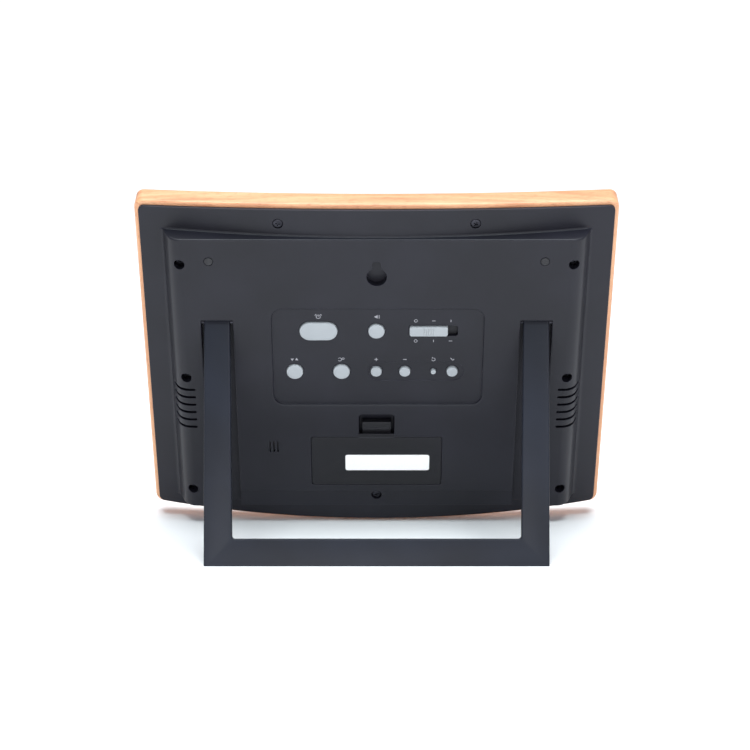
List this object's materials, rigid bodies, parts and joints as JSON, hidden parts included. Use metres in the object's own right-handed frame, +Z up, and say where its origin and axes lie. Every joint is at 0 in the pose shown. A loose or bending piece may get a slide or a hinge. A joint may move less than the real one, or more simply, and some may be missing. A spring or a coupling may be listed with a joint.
{
  "type": "desk clock in a curved picture-frame body",
  "caption": "Desk clock in a curved wooden picture-frame body with a black back cover, control buttons, battery door and a folding U-shaped stand.",
  "frame": {"origin": "bottom centre of the bounding box, on the surface that the clock stands on", "axes": "+X across the clock, to the left as seen from behind; +Y to the back; +Z up. The display faces -Y and leans back."},
  "size_m": [0.25, 0.1036, 0.1934],
  "materials": {
    "wood": "clear satin lacquer",
    "cover": "moulded satin",
    "stand": "moulded satin",
    "door": "moulded satin",
    "button": "moulded satin",
    "window": "clear polished",
    "mask": "printed matt",
    "lcd": "polished",
    "tray": "moulded matt",
    "circuit_board": "solder mask",
    "switch": "stamped",
    "cell": "plain sleeve",
    "contact": "nickel plated",
    "label": "blank printed film",
    "pin": "drawn",
    "screw": "black zinc",
    "rubber": "matt",
    "elastomer": "matt",
    "ribbon": "film",
    "chip": "moulded",
    "crystal": "drawn can",
    "thermistor": "dipped",
    "sounder": "moulded"
  },
  "bodies": {
    "clock": {"alarm_tact_switch": "switch", "back_cover": "cover", "battery_cell_1": "cell", "battery_cell_2": "cell", "battery_contact_left": "contact", "battery_contact_right": "contact", "battery_spring_1": "contact", "battery_spring_2": "contact", "bottom_screw": "screw", "control_board": "circuit_board", "controller_chip": "chip", "degrees_tact_switch": "switch", "demo_tact_switch": "switch", "display_mask": "mask", "display_tray": "tray", "display_window": "window", "elastomer_connector": "elastomer", "flange_screw_left": "screw", "flange_screw_right": "screw", "frame_bottom_rail": "wood", "frame_stile_left": "wood", "frame_stile_right": "wood", "frame_top_rail": "wood", "lcd_panel": "lcd", "main_board": "circuit_board", "max_min_tact_switch": "switch", "minus_tact_switch": "switch", "piezo_sounder": "sounder", "plus_tact_switch": "switch", "quartz_crystal": "crystal", "reset_tact_switch": "switch", "ribbon_cable": "ribbon", "set_tact_switch": "switch", "side_screw_1": "screw", "side_screw_2": "screw", "side_screw_3": "screw", "side_screw_4": "screw", "side_screw_5": "screw", "side_screw_6": "screw", "slide_switch_body": "switch", "stand_pin_left": "pin", "stand_pin_right": "pin", "thermistor": "thermistor", "wall_bumper_left": "rubber", "wall_bumper_right": "rubber"},
    "stand": {"stand": "stand"},
    "battery_door": {"battery_door": "door", "rating_label": "label"},
    "slide_switch_knob": {"slide_switch_knob": "button"},
    "alarm_button": {"alarm_button": "button"},
    "degrees_button": {"degrees_button": "button"},
    "demo_button": {"demo_button": "button"},
    "max_min_button": {"max_min_button": "button"},
    "minus_button": {"minus_button": "button"},
    "plus_button": {"plus_button": "button"},
    "reset_button": {"reset_button": "button"},
    "set_button": {"set_button": "button"}
  },
  "joints": [
    {"name": "stand_hinge", "type": "hinge", "parent": "clock", "child": "stand", "pos_m": [0, 0.01662, 0.1232], "axis": [-1, 0, 0], "range_deg": [0, 32.4]},
    {"name": "battery_door_hinge", "type": "hinge", "parent": "clock", "child": "battery_door", "pos_m": [0, -0.01527, 0.02458], "axis": [-1, 0, 0], "range_deg": [0, 70]},
    {"name": "slide_switch_travel", "type": "slide", "parent": "clock", "child": "slide_switch_knob", "axis": [-1, 0, 0], "range_m": [0, 0.005]},
    {"name": "alarm_press", "type": "slide", "parent": "clock", "child": "alarm_button", "axis": [0, -0.9422, 0.3351], "range_m": [0, 0.0006], "stiffness_N_per_m": 1500},
    {"name": "degrees_press", "type": "slide", "parent": "clock", "child": "degrees_button", "axis": [0, -0.9422, 0.3351], "range_m": [0, 0.0006], "stiffness_N_per_m": 1500},
    {"name": "demo_press", "type": "slide", "parent": "clock", "child": "demo_button", "axis": [0, -0.9422, 0.3351], "range_m": [0, 0.0006], "stiffness_N_per_m": 1500},
    {"name": "max_min_press", "type": "slide", "parent": "clock", "child": "max_min_button", "axis": [0, -0.9422, 0.3351], "range_m": [0, 0.0006], "stiffness_N_per_m": 1500},
    {"name": "minus_press", "type": "slide", "parent": "clock", "child": "minus_button", "axis": [0, -0.9422, 0.3351], "range_m": [0, 0.0006], "stiffness_N_per_m": 1500},
    {"name": "plus_press", "type": "slide", "parent": "clock", "child": "plus_button", "axis": [0, -0.9422, 0.3351], "range_m": [0, 0.0006], "stiffness_N_per_m": 1500},
    {"name": "reset_press", "type": "slide", "parent": "clock", "child": "reset_button", "axis": [0, -0.9422, 0.3351], "range_m": [0, 0.0006], "stiffness_N_per_m": 1500},
    {"name": "set_press", "type": "slide", "parent": "clock", "child": "set_button", "axis": [0, -0.9422, 0.3351], "range_m": [0, 0.0006], "stiffness_N_per_m": 1500}
  ]
}
